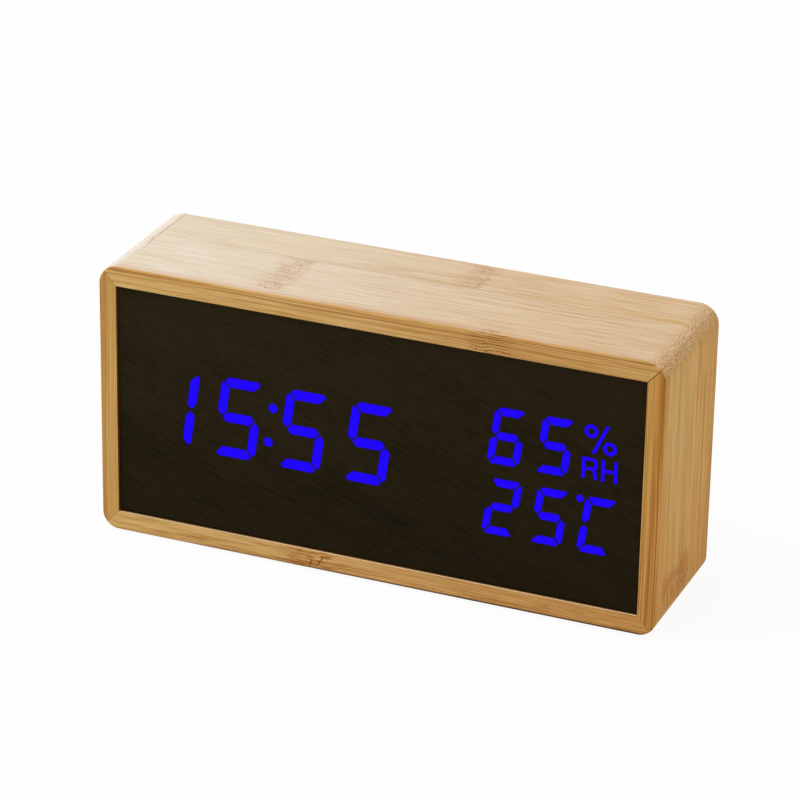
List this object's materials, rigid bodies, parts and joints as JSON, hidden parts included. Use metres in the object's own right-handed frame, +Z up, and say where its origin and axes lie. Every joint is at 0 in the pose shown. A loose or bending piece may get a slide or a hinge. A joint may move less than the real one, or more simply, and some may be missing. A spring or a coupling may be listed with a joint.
{
  "type": "digital alarm clock",
  "caption": "Free-standing bamboo desk alarm clock with a dark front panel, lit segment digits for time and climate, rear keys and a hinged battery door.",
  "frame": {"origin": "on the table, under the middle of the clock", "axes": "+X to the right seen from the front, +Y from the front to the back, +Z up"},
  "size_m": [0.15, 0.04, 0.0736],
  "materials": {
    "bamboo_board": "clear-coated pressed bamboo with long grain, seams and knuckle marks",
    "bamboo_block": "plain sanded wood",
    "foot_rubber": "matte black rubber",
    "dark_panel": "dark film with a faint wood figure",
    "segment_blue": "translucent lens lit blue from behind",
    "light_box_white": "matte white moulding",
    "board_green": "green circuit board",
    "led_chip": "pale light chip",
    "chip_black": "moulded chip body",
    "lead_metal": "tinned leads",
    "screw_steel": "zinc-plated steel",
    "connector_white": "ivory connector plastic",
    "ribbon_grey": "grey ribbon cable",
    "crystal_can": "bright metal can",
    "capacitor_sleeve": "sleeved capacitor can",
    "holder_black": "black moulded holder",
    "backup_cell_steel": "plain steel cell",
    "key_black": "satin black key",
    "switch_black": "black switch body",
    "plunger_brown": "brown switch plunger",
    "socket_steel": "stamped steel shell",
    "socket_tongue": "black contact tongue",
    "buzzer_black": "black buzzer can",
    "microphone_can": "metal microphone can",
    "boot_rubber": "soft black rubber",
    "sensor_white": "white vented housing",
    "cover_black": "black plastic with a fine moulded texture",
    "cell_jacket": "plain grey jacket",
    "contact_nickel": "nickel-plated steel",
    "lead_red": "red insulation",
    "lead_black": "black insulation"
  },
  "bodies": {
    "clock": {"case_top": "bamboo_board", "case_bottom": "bamboo_board", "case_left": "bamboo_board", "case_right": "bamboo_board", "corner_blocks": "bamboo_block", "foot_pads": "foot_rubber", "front_panel": "dark_panel", "time_segments_dark": "dark_panel", "climate_segments_dark": "dark_panel", "time_segments_lit": "segment_blue", "colon_dots": "segment_blue", "climate_segments_lit": "segment_blue", "unit_signs": "segment_blue", "time_light_box": "light_box_white", "climate_light_box": "light_box_white", "display_board": "board_green", "main_board": "board_green", "display_leds": "led_chip", "display_driver_chip": "chip_black", "controller_chip": "chip_black", "display_driver_leads": "lead_metal", "controller_leads": "lead_metal", "display_board_screws": "screw_steel", "main_board_screws": "screw_steel", "rear_cover_screws": "screw_steel", "display_connector": "connector_white", "main_connector": "connector_white", "ribbon_cable": "ribbon_grey", "clock_crystal": "crystal_can", "supply_capacitors": "capacitor_sleeve", "backup_cell_holder": "holder_black", "backup_cell": "backup_cell_steel", "key_switches": "switch_black", "usb_socket_shell": "socket_steel", "usb_socket_tongue": "socket_tongue", "buzzer": "buzzer_black", "microphone": "microphone_can", "microphone_boot": "boot_rubber", "climate_sensor": "sensor_white", "rear_cover": "cover_black", "battery_cells": "cell_jacket", "battery_cell_caps": "contact_nickel", "battery_springs": "contact_nickel", "battery_contacts": "contact_nickel", "battery_lead_positive": "lead_red", "battery_lead_negative": "lead_black"},
    "battery_door": {"battery_door": "cover_black"},
    "set_key": {"set_key": "key_black", "set_switch_plunger": "plunger_brown"},
    "up_key": {"up_key": "key_black", "up_switch_plunger": "plunger_brown"},
    "down_key": {"down_key": "key_black", "down_switch_plunger": "plunger_brown"}
  },
  "joints": [
    {"name": "battery_door_hinge", "type": "hinge", "parent": "clock", "child": "battery_door", "pos_m": [-0.03715, 0.0174, 0.01555], "axis": [-1, 0, 0], "range_deg": [0, 95]},
    {"name": "set_key_press", "type": "slide", "parent": "clock", "child": "set_key", "axis": [0, -1, 0], "range_m": [0, 0.0004], "stiffness_N_per_m": 1500},
    {"name": "up_key_press", "type": "slide", "parent": "clock", "child": "up_key", "axis": [0, -1, 0], "range_m": [0, 0.0004], "stiffness_N_per_m": 1500},
    {"name": "down_key_press", "type": "slide", "parent": "clock", "child": "down_key", "axis": [0, -1, 0], "range_m": [0, 0.0004], "stiffness_N_per_m": 1500}
  ]
}
